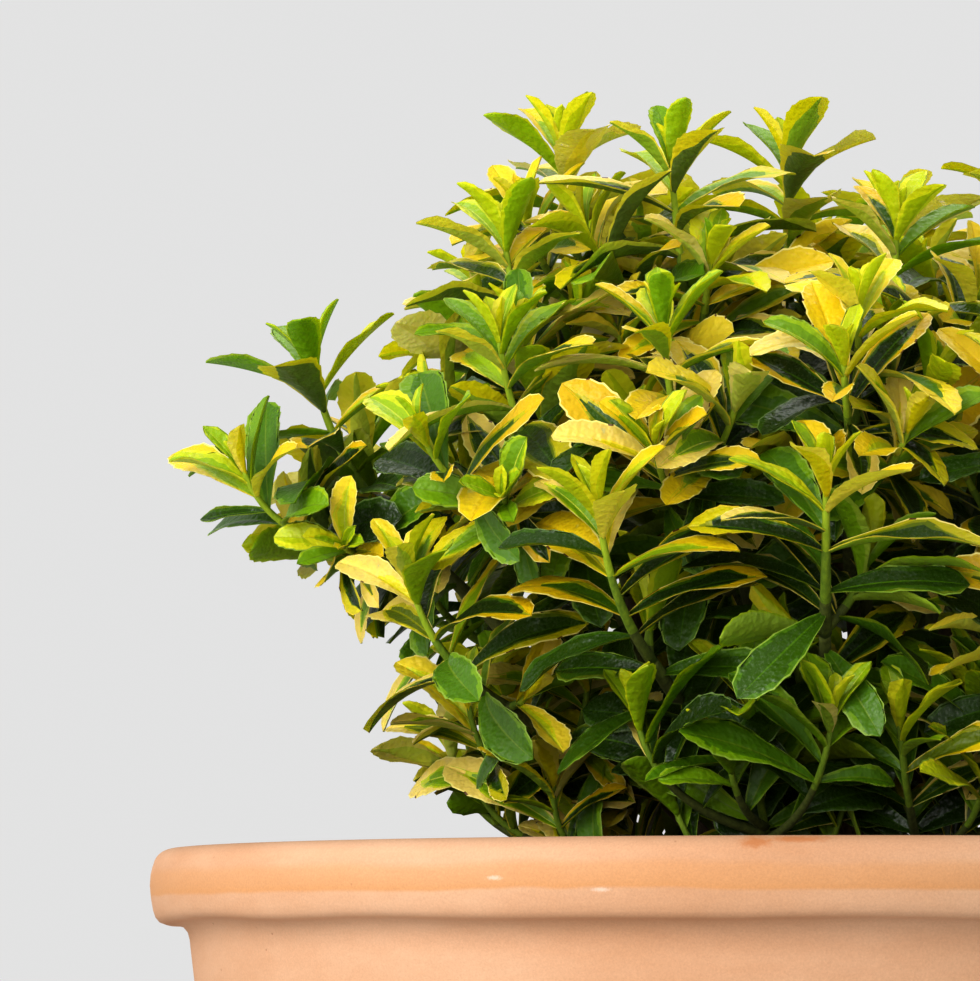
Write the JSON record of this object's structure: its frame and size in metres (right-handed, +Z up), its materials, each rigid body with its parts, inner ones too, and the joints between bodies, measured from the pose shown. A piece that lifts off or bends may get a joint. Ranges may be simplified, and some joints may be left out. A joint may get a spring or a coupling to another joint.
{
  "type": "potted euonymus",
  "caption": "Bushy golden-variegated evergreen shrub growing in a round clay patio pot with a rolled rim, standing on the pot's flat underside.",
  "frame": {"origin": "centre of the pot's flat underside, where the pot stands on the ground", "axes": "+Z up, along the pot's axis; -Y towards the viewer of the pictured side; +X to that viewer's right"},
  "size_m": [0.4396, 0.4396, 0.6123],
  "materials": {
    "terracotta": "matte, unglazed peach-coloured clay with fine grain",
    "compost": "crumbly dark moist potting compost",
    "bark": "fine-ribbed brown bark turning green towards the shoots",
    "foliage": "semi-gloss leathery leaves, golden yellow margins round green middles"
  },
  "bodies": {
    "root": {"bough_back_crest": "bark", "bough_back_left": "bark", "bough_back_right": "bark", "bough_crest": "bark", "bough_crown_top": "bark", "bough_far_top": "bark", "bough_front_brow": "bark", "bough_front_chest": "bark", "bough_front_heart": "bark", "bough_front_lance": "bark", "bough_left_back": "bark", "bough_left_cheek": "bark", "bough_left_hem": "bark", "bough_left_shoulder": "bark", "bough_left_spur": "bark", "bough_right_back": "bark", "bough_right_bosom": "bark", "bough_right_brow": "bark", "bough_right_cheek": "bark", "bough_right_hem": "bark", "bough_right_shoulder": "bark", "bough_right_skirt": "bark", "bough_right_spur": "bark", "bough_right_top": "bark", "foliage_back_crest": "foliage", "foliage_back_left": "foliage", "foliage_back_left_low": "foliage", "foliage_back_right": "foliage", "foliage_back_right_low": "foliage", "foliage_crest": "foliage", "foliage_crown_top": "foliage", "foliage_far_top": "foliage", "foliage_front_brow": "foliage", "foliage_front_chest": "foliage", "foliage_front_heart": "foliage", "foliage_front_lance": "foliage", "foliage_front_low": "foliage", "foliage_left_back": "foliage", "foliage_left_cheek": "foliage", "foliage_left_hem": "foliage", "foliage_left_low": "foliage", "foliage_left_shoulder": "foliage", "foliage_left_spur": "foliage", "foliage_right_back": "foliage", "foliage_right_bosom": "foliage", "foliage_right_brow": "foliage", "foliage_right_cheek": "foliage", "foliage_right_front_low": "foliage", "foliage_right_hem": "foliage", "foliage_right_low": "foliage", "foliage_right_shoulder": "foliage", "foliage_right_skirt": "foliage", "foliage_right_spur": "foliage", "foliage_right_top": "foliage", "pot": "terracotta", "soil": "compost", "stem": "bark"}
  },
  "joints": []
}
